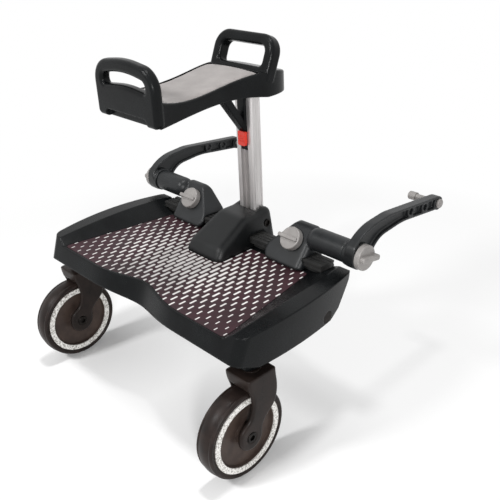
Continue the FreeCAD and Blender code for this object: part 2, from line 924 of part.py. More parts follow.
def hub():
    rim = hub_rim_width/2
    web = hub_web/2
    boss = fork_inner - hub_end_gap
    bore = axle_radius + wheel_bush_wall + running_gap
    outer = tyre_bore - running_gap
    half = [(boss, bore), (boss, hub_boss_radius - hub_draft), (web - hub_dish, hub_boss_radius),
            (web, hub_rim_inner - hub_draft), (rim, hub_rim_inner), (rim, outer)]
    right = [at_wheel(x, radius) for x, radius in half]
    left = [at_wheel(-x, radius) for x, radius in reversed(half)]
    return turned(polygon(right + left))


def reflector_rings():
    rings = []
    for side in (-1, 1):
        face = axle + sideways*(side*hub_rim_width/2)
        top = face + sideways*(side*ring_thickness)
        rings.append(rod(ring_outer, face, top).cut(rod(ring_inner, face, top)))
    return Part.makeCompound(rings)


def wheel_bushes():
    bushes = []
    for side in (-1, 1):
        outer = axle + sideways*(side*(fork_inner - hub_end_gap/2))
        inner = outer - sideways*(side*wheel_bush_length)
        tube = rod(axle_radius + wheel_bush_wall, inner, outer)
        bushes.append(tube.cut(rod(axle_radius + running_gap, inner, outer)))
    return Part.makeCompound(bushes)


# Connector rail
def rail_section(grow, x):
    low = -overrun if grow > 0 else 0
    return polygon([Vector(x, rail_foot_rear - grow, low), Vector(x, rail_foot_front + grow, low),
                    Vector(x, rail_foot_front + grow, rail_neck - grow),
                    Vector(x, rail_front + grow, rail_neck - grow),
                    Vector(x, rail_front + grow, rail_height + grow),
                    Vector(x, rail_rear - grow, rail_height + grow),
                    Vector(x, rail_rear - grow, rail_neck - grow),
                    Vector(x, rail_foot_rear - grow, rail_neck - grow)])


def connector_rail():
    rail = prism(rail_section(0, -rail_half), sideways*(2*rail_half))
    pitch = (rail_front - rail_rear)/(rail_groove_count + 1)
    for step in range(rail_groove_count):
        y = rail_rear + pitch*(step + 1)
        rail = rail.cut(box(-rail_half, rail_half, y - rail_groove/2, y + rail_groove/2,
                            rail_height - rail_groove_depth, rail_height + overrun))
    for side_y in (rail_rear, rail_front):
        z = (rail_neck + rail_height)/2
        rail = rail.cut(box(-rail_half, rail_half, side_y - rail_groove_depth, side_y + rail_groove_depth,
                            z - rail_groove/2, z + rail_groove/2))
    for place in rail_screw_places():
        depth = upright*(rail_screw_reach + seat_gap)
        rail = rail.cut(rod(screw_radius + running_gap, place, place + depth))
    return rail


# Tower
def tower_profile(x):
    return rounded([(Vector(x, tower_front, 0), 0),
                    (Vector(x, tower_nose_y, tower_nose_z), tower_nose_round),
                    (Vector(x, tower_shelf, tower_top), tower_shelf_round),
                    (Vector(x, tower_dip_y, tower_top), tower_shelf_round/2),
                    (Vector(x, tower_back, tower_collar), tower_back_round),
                    (Vector(x, tower_back, 0), 0)])


def tower():
    span = tower_half_base + overrun
    body = prism(tower_profile(-span), sideways*(2*span))
    lean = (tower_half_base - tower_half_top)/tower_collar
    for side in (-1, 1):
        low = Vector(side*(tower_half_base + lean*overrun), 0, -overrun)
        high = Vector(side*(tower_half_top - lean*overrun), 0, tower_collar + overrun)
        wide = sideways*(side*2*span)
        body = body.cut(prism(polygon([low, low + wide, high + wide, high]), forward*(2*tower_back)))
    edges = [edge for edge in body.Edges
             if abs(edge.Vertexes[0].X) > tower_half_top/2 and edge.Vertexes[0].X*edge.Vertexes[-1].X > 0
             and edge.CenterOfMass.z > least_edge]
    body = body.makeFillet(tower_round, edges)
    core = Part.Wire(tower_profile(-tower_half_top + tower_wall)).makeOffset2D(-tower_wall)
    core = Part.Face(core).extrude(sideways*(2*(tower_half_top - tower_wall)))
    core = core.common(box(-span, span, 0, rail_rear - tower_wall, 0, tower_top))
    core = core.fuse(core.common(box(-span, span, 0, tower_back, 0, 2*tower_wall)))
    well = core.cut([rod(tower_boss_radius, place, place + upright*tower_top)
                     for place in tower_screw_places()])
    body = body.cut(well)
    well.translate(-upright*tower_wall)
    body = body.cut(well)
    body = body.cut(prism(rail_section(tower_rail_gap, -span), sideways*(2*span)))
    body = body.cut(post_block(seat_gap, 0, tower_collar + overrun))
    centre = Vector(0, post_y, cross_bolt_z)
    body = body.cut(rod(cross_bolt_radius + running_gap, centre - sideways*span, centre + sideways*span))
    for side in (-1, 1):
        face = centre + sideways*(side*cross_bolt_face)
        body = body.cut(rod(cross_bolt_head_radius + seat_gap, face, face + sideways*(side*span)))
    for place in tower_screw_places():
        depth = upright*(tower_screw_reach + seat_gap)
        body = body.cut(rod(screw_radius + running_gap, place, place + depth))
    return body.removeSplitter()


def cross_bolt():
    centre = Vector(0, post_y, cross_bolt_z)
    bolt = rod(cross_bolt_radius, centre - sideways*cross_bolt_face, centre + sideways*cross_bolt_face)
    for side in (-1, 1):
        face = centre + sideways*(side*cross_bolt_face)
        top = face + sideways*(side*cross_bolt_head)
        bolt = bolt.fuse(rod(cross_bolt_head_radius, face, top))
        bolt = bolt.cut(rod(socket_radius, top, top - sideways*(side*socket_depth)))
    return bolt


# Post
def post_block(grow, low, high):
    half = post_width/2 + grow
    rear = seat_front_face - grow
    front = seat_front_face + post_depth + grow
    corner = post_corner + grow
    return prism(rounded([(Vector(-half, rear, low), corner), (Vector(half, rear, low), corner),
                          (Vector(half, front, low), corner), (Vector(-half, front, low), corner)]),
                 upright*(high - low))


def post():
    body = post_block(0, 0, post_top)
    face = seat_front_face
    body = body.cut(box(-slot_mouth/2, slot_mouth/2, face - overrun, face + slot_depth, 0, post_top))
    body = body.cut(box(-slot_width/2, slot_width/2, face + slot_lip, face + slot_depth, 0, post_top))
    back = face + slot_depth + post_wall
    inner = post_width/2 - post_wall
    cavity = box(-inner, inner, back, face + post_depth - post_wall, 0, post_top)
    body = body.cut(cavity.makeFillet(post_corner - post_wall, edges_along(cavity, upright)))
    for side in (-1, 1):
        for share in flute_shares:
            y = face + post_depth*share
            start = Vector(side*(post_width/2 + flute_radius/2), y, 0)
            body = body.cut(rod(flute_radius, start, start + upright*post_top))
        near, far = sorted((side*inner, side*(slot_width/2 + post_wall)))
        body = body.cut(box(near, far, face + 2*post_wall, back + post_wall, 0, post_top))
    centre = (latch_low + latch_high)/2
    slot_half = latch_pin + slide_gap
    body = body.cut(box(-slot_half, slot_half, face + slot_depth, back + post_wall, centre - slot_half,
                        centre + saddle_rise + slot_half))
    bolt = Vector(0, post_y, cross_bolt_z)
    through = sideways*post_width
    return body.cut(rod(cross_bolt_radius + running_gap, bolt - through, bolt + through))


# Connector housings
def leg_profile(x):
    return rounded([(Vector(x, leg_front, leg_lift), 0),
                    (Vector(x, leg_top_front, leg_top), leg_round),
                    (Vector(x, leg_top_back, leg_top), leg_top_round),
                    (Vector(x, leg_back, leg_shoulder), leg_round),
                    (Vector(x, leg_back, leg_lift), 0)])


def leg_outline(y):
    # The leg seen from the rear, with an upright inner side and a slope up to the crest.
    return rounded([(Vector(leg_inner, y, leg_lift), leg_corner_low),
                    (Vector(leg_inner, y, leg_side), leg_corner_side),
                    (Vector(leg_crest_x, y, leg_top), leg_corner_top),
                    (Vector(leg_outer, y, leg_top), 0),
                    (Vector(leg_outer, y, leg_lift), 0)])


def slanted_edges(leg, outer):
    # Long edges of the slanted face on its outer or its inner side.
    found = []
    for edge in leg.Edges:
        ends = [vertex.Point - clamp_face for vertex in edge.Vertexes]
        flat = all(abs(end.dot(clamp_out)) < least_edge*leg_top for end in ends)
        if flat and abs(ends[0].z - ends[-1].z) > leg_round and (edge.CenterOfMass.x > clamp_x) == outer:
            found.append(edge)
    return found


def housing():
    leg = prism(leg_profile(leg_inner), sideways*(leg_outer - leg_inner))
    leg = leg.common(prism(leg_outline(leg_front - overrun), forward*(leg_back - leg_front + 2*overrun)))
    leg = leg.makeFillet(leg_edge_round, slanted_edges(leg, True))
    lowest = min(slanted_edges(leg, False), key=lambda edge: edge.CenterOfMass.z)
    leg = leg.makeFillet(leg_rim_round, [lowest])
    barrel = rod(tube_radius, arm_pivot + sideways*tube_start, arm_pivot + sideways*tube_end)
    barrel = barrel.makeFillet(tube_round, rings_at(barrel, tube_start))
    body = leg.fuse(barrel).removeSplitter()
    body = body.cut(prism(rail_section(slide_gap, leg_inner - overrun), sideways*(tube_end + overrun)))
    core = box(leg_outer + tube_wall, tube_end - tube_floor - tube_insert, arm_pivot_y - tube_core_half,
               arm_pivot_y + tube_core_half, 0, arm_pivot_z + tube_core_half)
    body = body.cut(core)
    body = body.cut(rod(stud_radius + running_gap, clamp_face - clamp_out*clamp_stud_reach,
                        clamp_face + clamp_out*overrun))
    body = body.cut(rod(insert_radius, clamp_face - clamp_out*clamp_insert, clamp_face + clamp_out*overrun))
    end = arm_pivot + sideways*tube_end
    body = body.cut(rod(stud_radius + running_gap, end - sideways*(tube_floor + tube_insert + overrun), end))
    body = body.cut(rod(insert_radius, end - sideways*tube_insert, end))
    return body


def threaded_insert(face, outward, length):
    low = face - outward*length
    sleeve = rod(insert_radius - running_gap, low, face)
    return sleeve.cut(rod(stud_radius + running_gap, low, face))


# Knobs, drawn standing on their own base and then turned into place
def turn_knob(radius, height, bar_rear, bar_front, bar_width, bar_low, bar_high, bar_round):
    disc = Part.makeCylinder(radius, height)
    rims = [edge for edge in disc.Edges if edge.Closed and edge.CenterOfMass.z > height/2]
    disc = disc.makeFillet(knob_round, rims)
    bar = box(-bar_rear, bar_front, -bar_width/2, bar_width/2, bar_low, bar_high)
    ends = [edge for edge in edges_along(bar, upright)]
    bar = bar.makeFillet(bar_width*knob_end_share, ends)
    tops = [edge for edge in bar.Edges if edge.CenterOfMass.z > bar_high - least_edge]
    bar = bar.makeFillet(bar_round, tops)
    return disc.fuse(bar).removeSplitter()


def placed(shape, base, outward, spin_deg):
    turn = FreeCAD.Rotation(upright, outward).multiply(FreeCAD.Rotation(upright, spin_deg))
    result = shape.copy()
    result.Placement = FreeCAD.Placement(base, turn)
    return result


def clamp_knob(side):
    # The pointers of both knobs face the same way.
    knob = turn_knob(clamp_radius, clamp_height, clamp_radius + grip_overhang, clamp_radius - grip_inset,
                     grip_width, clamp_height/2, clamp_height + grip_height, grip_round)
    knob = knob.cut(Part.makeCylinder(stud_radius + running_gap, clamp_height*knob_core_share))
    base = clamp_face + clamp_out*seat_gap
    return placed(knob, Vector(side*base.x, base.y, base.z), clamp_out, 0)


def clamp_stud():
    base = clamp_face + clamp_out*(seat_gap + clamp_height*knob_core_share)
    return rod(stud_radius, clamp_face - clamp_out*(clamp_stud_reach - swing_gap), base)


def arm_knob():
    knob = turn_knob(arm_knob_radius, arm_knob_height, arm_knob_radius + wing_overhang,
                     arm_knob_radius - grip_inset, wing_width, arm_knob_height/2,
                     arm_knob_height + wing_height, wing_round)
    knob = knob.cut(Part.makeCylinder(stud_radius + running_gap, arm_knob_height*knob_core_share))
    return placed(knob, arm_pivot + sideways*(beam_outer + seat_gap), sideways, wing_turn_deg)


def arm_stud():
    start = arm_pivot + sideways*(tube_end - tube_floor - tube_insert)
    end = beam_outer + seat_gap + arm_knob_height*knob_core_share
    return rod(stud_radius, start, arm_pivot + sideways*end)


# Curved arms
def beam_corners(x):
    def at(y, z):
        return arm_pivot + Vector(x, y, z)
    return [(at(-eye_radius, -eye_radius), eye_radius*eye_rear_share),
            (at(-eye_radius, arch_heel), arch_heel_round),
            (at(arch_shoulder_reach, arch_shoulder), arch_shoulder_round),
            (at(arch_reach, arch_top), arch_round),
            (at(hole_reach + tip_nose, hole_rise + tip_radius), tip_radius*tip_share),
            (at(hole_reach + tip_radius, hole_rise - tip_radius), tip_radius*tip_share),
            (at(arch_belly_reach, arch_belly), arch_belly_round),
            (at(arch_foot_reach, arch_foot), arch_foot_round),
            (at(eye_toe, -eye_radius), eye_radius*eye_front_share)]


def hole_places():
    places = []
    for step in range(hole_count):
        places.append(arm_pivot + Vector(0, hole_reach - hole_pitch*step, hole_rise + hole_fall*step))
    return places


def curved_arm():
    outline = Part.Wire(rounded(beam_corners(beam_inner)))
    beam = Part.Face(outline).extrude(sideways*(beam_outer - beam_inner))
    pocket = Part.Face(outline.makeOffset2D(-beam_flange))
    keeps = [rod(eye_radius, arm_pivot, arm_pivot + sideways*deck_half_mid*2)]
    for place in hole_places():
        keeps.append(rod(hole_boss_radius, place, place + sideways*deck_half_mid*2))
    inner_pocket = pocket.extrude(sideways*beam_recess).cut(keeps)
    outer_pocket = inner_pocket.copy()
    outer_pocket.translate(sideways*(beam_outer - beam_inner - beam_recess))
    beam = beam.cut(inner_pocket).cut(outer_pocket)
    root = rod(eye_radius, arm_pivot + sideways*hub_start, arm_pivot + sideways*beam_inner)
    end = hole_places()[0]
    tip = rod(tip_radius, end + sideways*beam_inner, end + sideways*beam_outer)
    beam = beam.fuse([root, tip]).removeSplitter()
    beam = beam.cut(rod(stud_radius + running_gap, arm_pivot + sideways*tube_start,
                        arm_pivot + sideways*(2*beam_outer)))
    for place in hole_places():
        beam = beam.cut(rod(hole_radius, place, place + sideways*(2*beam_outer)))
    return beam


def hitch_pin():
    place = hole_places()[0]
    outer = place + sideways*beam_outer
    inner = place + sideways*(beam_inner - hitch_reach)
    tip = inner - sideways*peg_length
    pin = rod(hole_radius - running_gap, inner, outer)
    head = rod(hitch_head_radius, outer, outer + sideways*hitch_head)
    head = head.makeFillet(hitch_head/2, rings_at(head, outer.x + hitch_head))
    peg = rod(peg_radius, tip, inner)
    peg = peg.makeChamfer(hitch_chamfer, rings_at(peg, tip.x))
    return pin.fuse([head, peg])


# Saddle
def seat_half_at(y):
    # Half width of the saddle along its length, narrow at the waist.
    if y < seat_waist_y:
        share = (seat_waist_y - y)/(seat_waist_y + seat_rear)
        return seat_half_waist + (seat_half_rear - seat_half_waist)*share*share
    share = min(1, (y - seat_waist_y)/(seat_far_start - seat_waist_y))
    return seat_half_waist + (seat_half_far - seat_half_waist)*share*share*(3 - 2*share)


def seat_plan(inset, z):
    right = []
    for step in range(seat_stations):
        y = -seat_rear + inset + (seat_far_start + seat_rear - inset)*step/(seat_stations - 1)
        right.append(Vector(seat_half_at(y) - inset, y, z))
    right.append(Vector(seat_far_bulge_x - inset, seat_far_bulge_y - inset, z))
    left = [Vector(-point.x, point.y, z) for point in reversed(right)]
    edge = Part.BSplineCurve()
    edge.interpolate(Points=right + [Vector(0, seat_far - inset, z)] + left)
    return [edge.toShape(), line(left[-1], right[0])]


def seat_curve(x, drop):
    curve = Part.BSplineCurve()
    curve.interpolate(Points=[Vector(x, y, z - drop) for y, z in (
        (-seat_rear - handle_thickness, seat_top_rear + seat_top_rise), (seat_waist_y, seat_top_waist),
        (seat_far_start, seat_top_far), (seat_tail_y, seat_tail_z), (seat_far, seat_tail_end_z))])
    return curve


def above_seat(drop):
    x = -seat_half_rear - overrun
    curve = seat_curve(x, drop)
    start = curve.StartPoint
    end = curve.EndPoint
    far = Vector(x, seat_far + overrun, end.z)
    high = near_handle_top + overrun
    edges = [curve.toShape(), line(end, far), line(far, Vector(x, far.y, high)),
             line(Vector(x, far.y, high), Vector(x, start.y, high)), line(Vector(x, start.y, high), start)]
    return prism(edges, sideways*(-2*x))


def below_seat():
    x = -seat_half_rear - overrun
    belly = Part.BSplineCurve()
    belly.interpolate(Points=[Vector(x, y, z) for y, z in (
        (-seat_rear - 2*handle_thickness, seat_low_rear), (seat_step_y, seat_step),
        (seat_arch_rear_y, seat_arch_rear), (seat_arch_y, seat_arch), (seat_arch_front_y, seat_arch_front),
        (post_y, seat_bottom), (seat_far, seat_bottom))])
    start = belly.StartPoint
    end = belly.EndPoint
    far = Vector(x, seat_far + overrun, end.z)
    low = seat_low_rear - overrun
    edges = [belly.toShape(), line(end, far), line(far, Vector(x, far.y, low)),
             line(Vector(x, far.y, low), Vector(x, start.y, low)), line(Vector(x, start.y, low), start)]
    return prism(edges, sideways*(-2*x))


def pad_body(grow, lift):
    # The cushion as sections along Y, each with drawn-in sides and a crowned top.
    curve = seat_curve(0, 0)
    wires = []
    low = -pad_rear - grow
    high = pad_far + grow
    for step in range(pad_stations):
        y = low + (high - low)*step/(pad_stations - 1)
        top = curve.value(curve.parameter(Vector(0, y, seat_top_waist))).z
        half = seat_half_at(y) - pad_border + grow
        base = top - pad_thickness - grow
        foot = half - (0 if lift > 0 else pad_draw)
        crest = top + pad_crown + lift
        edge = top + lift
        wires.append(Part.Wire([
            line(Vector(-foot, y, base), Vector(foot, y, base)),
            line(Vector(foot, y, base), Vector(half, y, edge)),
            arc(Vector(half, y, edge), Vector(0, y, crest), Vector(-half, y, edge)),
            line(Vector(-half, y, edge), Vector(-foot, y, base))]))
    return Part.makeLoft(wires, True, False)


def seat_pad():
    pad = pad_body(0, 0)
    rims = []
    for edge in pad.Edges:
        ends = [vertex.Point for vertex in edge.Vertexes]
        if abs(ends[0].x - ends[-1].x) > seat_half_waist and edge.CenterOfMass.z > seat_top_waist:
            rims.append(edge)
    return pad.makeFillet(pad_round, rims)


def handle_plate(half, low, high, low_corner, high_corner, y):
    return [(Vector(-half, y, low), low_corner), (Vector(half, y, low), low_corner),
            (Vector(half, y, high), high_corner), (Vector(-half, y, high), high_corner)]


def bowed(corners, top_bow, low_bow, y):
    # The same plate with its top and low edges bowed upward in the middle.
    left_low, right_low, right_high, left_high = corners
    crown = (Vector(0, y, right_high[0].z), near_bow_round)
    drop = upright*top_bow
    outline = [left_low, right_low, (right_high[0] - drop, right_high[1]), crown,
               (left_high[0] - drop, left_high[1])]
    if low_bow > 0:
        outline.insert(1, (Vector(0, y, left_low[0].z + low_bow), near_bow_round))
    return outline


def handle(outline, opening, y, depth):
    solid = prism(rounded(outline), forward*depth)
    solid = solid.cut(prism(rounded(opening), forward*depth))
    rims = [edge for edge in solid.Edges if edge.BoundBox.YLength < least_edge]
    return solid.makeFillet(handle_round, rims)


def near_handle():
    y = -seat_rear - handle_thickness/2
    plate = handle_plate(near_handle_half, seat_low_rear, near_handle_top, near_foot_corner,
                         near_handle_corner, y)
    grip = handle_plate(near_grip_half, near_grip_low, near_grip_high, near_grip_low_corner,
                        near_grip_high_corner, y)
    bar = handle(bowed(plate, near_handle_bow, 0, y), bowed(grip, near_handle_bow, near_grip_bow, y), y,
                 handle_thickness)
    arch = handle_plate(near_arch_half, seat_low_rear - overrun, seat_low_rear + near_arch_rise, 0,
                        near_arch_corner, y - overrun)
    return bar.cut(prism(rounded(arch), forward*(overrun + handle_thickness - seat_wall)))


def far_handle():
    y = far_handle_y - handle_thickness/2
    plate = handle_plate(far_handle_half, far_handle_base, far_handle_top, far_foot_corner,
                         far_handle_corner, y)
    grip = handle_plate(far_grip_half, far_grip_low, far_grip_high, far_grip_low_corner,
                        far_grip_high_corner, y)
    bar = handle(plate, grip, y, far_handle_depth)
    bar.rotate(Vector(0, far_handle_y, far_handle_base), sideways, -far_lean_deg)
    return bar


def brace_screw_places():
    return [Vector(side*brace_screw_half, brace_screw_y, 0) for side in (-1, 1)]


def seat_shell():
    top = above_seat(0)
    block = prism(seat_plan(0, seat_low_rear), upright*(seat_top_rear + overrun - seat_low_rear))
    block = block.cut(top).cut(below_seat())
    rims = [edge for edge in block.Edges if edge.CenterOfMass.z > seat_top_waist - handle_thickness
            and abs(edge.BoundBox.ZLength) < seat_bottom/2 and edge.BoundBox.YLength > seat_far]
    block = block.makeFillet(seat_edge_round, rims)
    core = prism(seat_plan(seat_wall, seat_low_rear - overrun),
                 upright*(seat_top_rear + 2*overrun - seat_low_rear))
    core = core.cut(above_seat(pad_thickness + seat_gap + seat_wall))
    body = block.cut(core)
    inner = []
    for share in seat_rib_shares:
        y = seat_far*share
        inner.append(box(-seat_half_rear, seat_half_rear, y, y + rib_thickness, brace_seat,
                         seat_top_rear + overrun))
    socket = post_block(seat_gap + post_socket_wall, seat_bottom, seat_top_rear + overrun)
    for place in brace_screw_places():
        low = place + upright*brace_seat
        inner.append(rod(tower_boss_radius, low, low + upright*(seat_top_rear - brace_seat)))
    body = body.fuse([core.common(piece) for piece in inner + [socket]])
    body = body.fuse([near_handle(), far_handle()])
    body = body.cut(pad_body(seat_gap, handle_thickness))
    body = body.cut(post_block(seat_gap, 0, post_top + seat_gap))
    for place in brace_screw_places():
        low = place + upright*brace_seat
        body = body.cut(rod(screw_radius + running_gap, low, low + upright*(brace_screw_reach + seat_gap)))
    return body.removeSplitter()


# Brace between the post slot and the saddle, and its press latch
def brace():
    face = seat_front_face
    head_rear = face + slot_lip + seat_gap
    head_half = slot_width/2 - seat_gap
    neck_half = slot_mouth/2 - seat_gap
    under = brace_seat - brace_flange
    high = seat_bottom - seat_gap
    head = box(-head_half, head_half, head_rear, head_rear + brace_head, brace_foot, high)
    window = latch_stem_half + seat_gap
    step = latch_step - seat_gap
    head = head.cut(box(-window, window, head_rear, head_rear + brace_head,
                        latch_low + step, latch_high - step))
    neck = box(-neck_half, neck_half, brace_face, head_rear, brace_low, high)
    x = -strut_width/2
    rise = strut_depth*strut_rise_share
    strut = prism(polygon([Vector(x, brace_face, brace_low), Vector(x, brace_face, brace_low + rise),
                           Vector(x, strut_top_y + rise, under), Vector(x, strut_top_y, under)]),
                  sideways*strut_width)
    plate = box(-brace_flange_width/2, brace_flange_width/2, brace_flange_rear, brace_flange_front,
                under, brace_seat)
    plate = plate.makeFillet(brace_round, edges_along(plate, upright))
    body = head.fuse([neck, strut, plate])
    for place in brace_screw_places():
        low = place + upright*(under - overrun)
        body = body.cut(rod(screw_radius + running_gap, low, low + upright*(2*overrun)))
    return body.removeSplitter()


def latch():
    face = seat_front_face
    half = slot_mouth/2 - seat_gap
    head_rear = face + slot_lip + seat_gap
    back = head_rear - latch_press - seat_gap
    front = face - latch_proud
    button = box(-half, half, front, back, latch_low, latch_high)
    button = button.makeFillet(latch_round, edges_along(button, forward))
    centre = (latch_low + latch_high)/2
    for step in range(latch_ridge_count):
        z = centre + latch_ridge_pitch*(step - (latch_ridge_count - 1)/2)
        groove = rod(latch_ridge/2, Vector(-half, front, z), Vector(half, front, z))
        button = button.cut(groove)
    behind = head_rear + brace_head + seat_gap
    stem_box = box(-latch_stem_half, latch_stem_half, back, behind, latch_low + latch_step,
                   latch_high - latch_step)
    stop = box(-latch_stem_half, latch_stem_half, behind, behind + latch_stop, latch_low, latch_high)
    nub_start = Vector(0, behind + latch_stop, centre)
    nub = rod(latch_pin, nub_start, nub_start + forward*latch_nub)
    return button.fuse([stem_box, stop, nub]).removeSplitter()


os.makedirs("parts", exist_ok=True)
save("deck_shell", deck_shell())
save("deck_mat", mat_body(seat_gap, mat_thickness))
save("connector_rail", connector_rail())
save("rail_screws", Part.makeCompound([screw(place, deck_under, rail_screw_reach - deck_under)
                                       for place in rail_screw_places()]))
save("tower", tower())
save("tower_screws", Part.makeCompound([screw(place, deck_under, tower_screw_reach - deck_under)
                                        for place in tower_screw_places()]))
save("post", post())
save("post_bolt", cross_bolt())
both_sides("hinge_pin", hinge_pin())
both_sides("suspension_spring", coil_spring())
print("least gap of the spring to itself, mm", round(coil_gap(), 3))
both_sides("suspension_arm", suspension_arm())
both_sides("swivel_bush", swivel_bush())
both_sides("fork", fork())
both_sides("kingpin", kingpin())
both_sides("axle", axle_pin())
both_sides("tyre", tyre())
both_sides("hub", hub())
both_sides("reflector_rings", reflector_rings())
both_sides("wheel_bushes", wheel_bushes())
both_sides("housing", housing())
both_sides("clamp_insert", threaded_insert(clamp_face, clamp_out, clamp_insert))
both_sides("pivot_insert", threaded_insert(arm_pivot + sideways*tube_end, sideways, tube_insert))
save("clamp_knob_left", clamp_knob(-1))
save("clamp_knob_right", clamp_knob(1))
both_sides("clamp_stud", clamp_stud())
both_sides("curved_arm", curved_arm())
both_sides("hitch_pin", hitch_pin())
both_sides("arm_knob", arm_knob())
both_sides("arm_stud", arm_stud())
save("seat_shell", seat_shell())
save("seat_pad", seat_pad())
save("brace", brace())
save("brace_screws", Part.makeCompound([screw(place, brace_seat - brace_flange,
                                              brace_screw_reach + brace_flange)
                                        for place in brace_screw_places()]))
save("latch", latch())
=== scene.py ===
import bmesh
import bpy
import math
from mathutils import Matrix, Vector


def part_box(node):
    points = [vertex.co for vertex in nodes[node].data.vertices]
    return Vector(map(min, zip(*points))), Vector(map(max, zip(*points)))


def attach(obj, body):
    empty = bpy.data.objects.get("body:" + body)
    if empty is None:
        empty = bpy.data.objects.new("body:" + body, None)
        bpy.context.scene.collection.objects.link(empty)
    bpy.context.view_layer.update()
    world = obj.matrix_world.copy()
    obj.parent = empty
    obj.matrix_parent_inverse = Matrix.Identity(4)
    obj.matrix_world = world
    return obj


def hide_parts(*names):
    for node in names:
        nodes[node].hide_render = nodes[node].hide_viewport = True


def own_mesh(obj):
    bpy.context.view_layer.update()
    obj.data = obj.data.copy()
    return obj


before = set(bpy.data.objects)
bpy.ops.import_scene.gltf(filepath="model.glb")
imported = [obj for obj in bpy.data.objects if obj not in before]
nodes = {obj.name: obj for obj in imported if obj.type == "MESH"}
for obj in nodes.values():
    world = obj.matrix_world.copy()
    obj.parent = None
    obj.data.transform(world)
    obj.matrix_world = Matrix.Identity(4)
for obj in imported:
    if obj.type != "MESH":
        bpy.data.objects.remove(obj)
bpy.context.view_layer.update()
print("frame loaded:", len(nodes), "nodes")

mm = 0.001
sides = ("left", "right")


# Colour and node helpers
def hexColour(code):
    channels = [int(code[i:i + 2], 16)/255 for i in (1, 3, 5)]
    return [c/12.92 if c <= 0.04045 else ((c + 0.055)/1.055)**2.4 for c in channels] + [1.0]


def addNode(mat, kind, inputs=(), out=0, **settings):
    node = mat.node_tree.nodes.new("ShaderNode" + kind)
    for name, value in settings.items():
        setattr(node, name, value)
    for socket, value in inputs.items() if isinstance(inputs, dict) else enumerate(inputs):
        if isinstance(value, bpy.types.NodeSocket):
            mat.node_tree.links.new(value, node.inputs[socket])
        else:
            node.inputs[socket].default_value = hexColour(value) if isinstance(value, str) else value
    return node.outputs[out]


def newMaterial(name, ior, specular=0.5, metallic=0.0):
    mat = bpy.data.materials.new(name)
    mat.use_nodes = True
    shader = mat.node_tree.nodes["Principled BSDF"]
    shader.inputs["IOR"].default_value = ior
    shader.inputs["Metallic"].default_value = metallic
    shader.inputs["Specular IOR Level"].default_value = specular
    coords = addNode(mat, "TexCoord", out="Object")
    return mat, shader, coords


def surface(mat, shader, tone, gloss, height, strength, depthMm, edgeMm):
    # Colour, roughness and relief to the shader, with every hard edge broken by a small radius.
    edge = addNode(mat, "Bevel", {"Radius": edgeMm*mm}, samples=6)
    relief = addNode(mat, "Bump", {"Height": height, "Strength": strength, "Distance": depthMm*mm,
                                   "Normal": edge})
    for socket, output in (("Base Color", tone), ("Roughness", gloss), ("Normal", relief)):
        mat.node_tree.links.new(output, shader.inputs[socket])


def mouldedSkin(mat, shader, coords, look):
    # Spark-eroded mould grain, slow changes of tone and gloss, and fine specks of dust.
    # The real grain is about 0.3 mm, and each grainMm is drawn coarser so that it shows.
    grain = addNode(mat, "TexNoise", {"Vector": coords, "Scale": 1/(look["grainMm"]*mm), "Detail": 3.0,
                                      "Roughness": 0.6})
    cloud = addNode(mat, "TexNoise", {"Vector": coords, "Scale": 1/(look["cloudMm"]*mm), "Detail": 4.0,
                                      "Roughness": 0.55})
    speck = addNode(mat, "TexVoronoi", {"Vector": coords, "Scale": 1/(look["speckMm"]*mm)})
    dust = addNode(mat, "MapRange", (speck, 0.0, 0.22, look["dust"], 0.0))
    drift = addNode(mat, "MapRange", (cloud, 0.35, 0.68))
    tone = addNode(mat, "Mix", {0: drift, 6: look["dark"], 7: look["light"]}, 2, data_type="RGBA")
    tone = addNode(mat, "Mix", {0: dust, 6: tone, 7: look["dustTone"]}, 2, data_type="RGBA")
    slow = addNode(mat, "MapRange", (cloud, 0.3, 0.7, look["gloss"] - 0.05, look["gloss"] + 0.05))
    fine = addNode(mat, "MapRange", (grain, 0.3, 0.7, -0.04, 0.04))
    gloss = addNode(mat, "Math", (slow, fine), operation="ADD")
    surface(mat, shader, tone, gloss, grain, look["bump"], look["depthMm"], look["edgeMm"])


# Finishes
def polypropyleneBlack(name="polypropyleneBlack", edgeMm=2.8, sheen=0.12, gloss=0.25):
    # Injection-moulded black polypropylene: a cool near-black with a soft satin sheen.
    look = {"grainMm": 0.9, "cloudMm": 38, "speckMm": 3.4, "dark": "#0c0d0e", "light": "#131516",
            "dust": 0.10, "dustTone": "#2a2d30", "gloss": gloss, "bump": 0.16, "depthMm": 0.25,
            "edgeMm": edgeMm}
    mat, shader, coords = newMaterial(name, ior=1.49, specular=sheen)
    mouldedSkin(mat, shader, coords, look)
    return mat


def polypropyleneTower():
    # The tower is the same black polypropylene, with broad rounds that carry a long soft highlight.
    return polypropyleneBlack("polypropyleneTower", edgeMm=7.0, sheen=0.3, gloss=0.38)


def nylonCharcoal():
    # Glass-filled nylon mouldings: charcoal, a little lighter than the deck, with a broad soft sheen.
    look = {"grainMm": 1.0, "cloudMm": 26, "speckMm": 2.6, "dark": "#141617", "light": "#1d1f21",
            "dust": 0.12, "dustTone": "#373b3e", "gloss": 0.40, "bump": 0.12, "depthMm": 0.25, "edgeMm": 1.6}
    mat, shader, coords = newMaterial("nylonCharcoal", ior=1.53, specular=0.3)
    mouldedSkin(mat, shader, coords, look)
    return mat


def nylonRibbed():
    # The ribbed rail is the same nylon left dull from the mould, so its ribs read as dark grey.
    look = {"grainMm": 1.0, "cloudMm": 18, "speckMm": 2.4, "dark": "#292929", "light": "#343433",
            "dust": 0.12, "dustTone": "#4a4a48", "gloss": 0.46, "bump": 0.22, "depthMm": 0.25, "edgeMm": 0.4}
    mat, shader, coords = newMaterial("nylonRibbed", ior=1.53, specular=0.16)
    mouldedSkin(mat, shader, coords, look)
    return mat


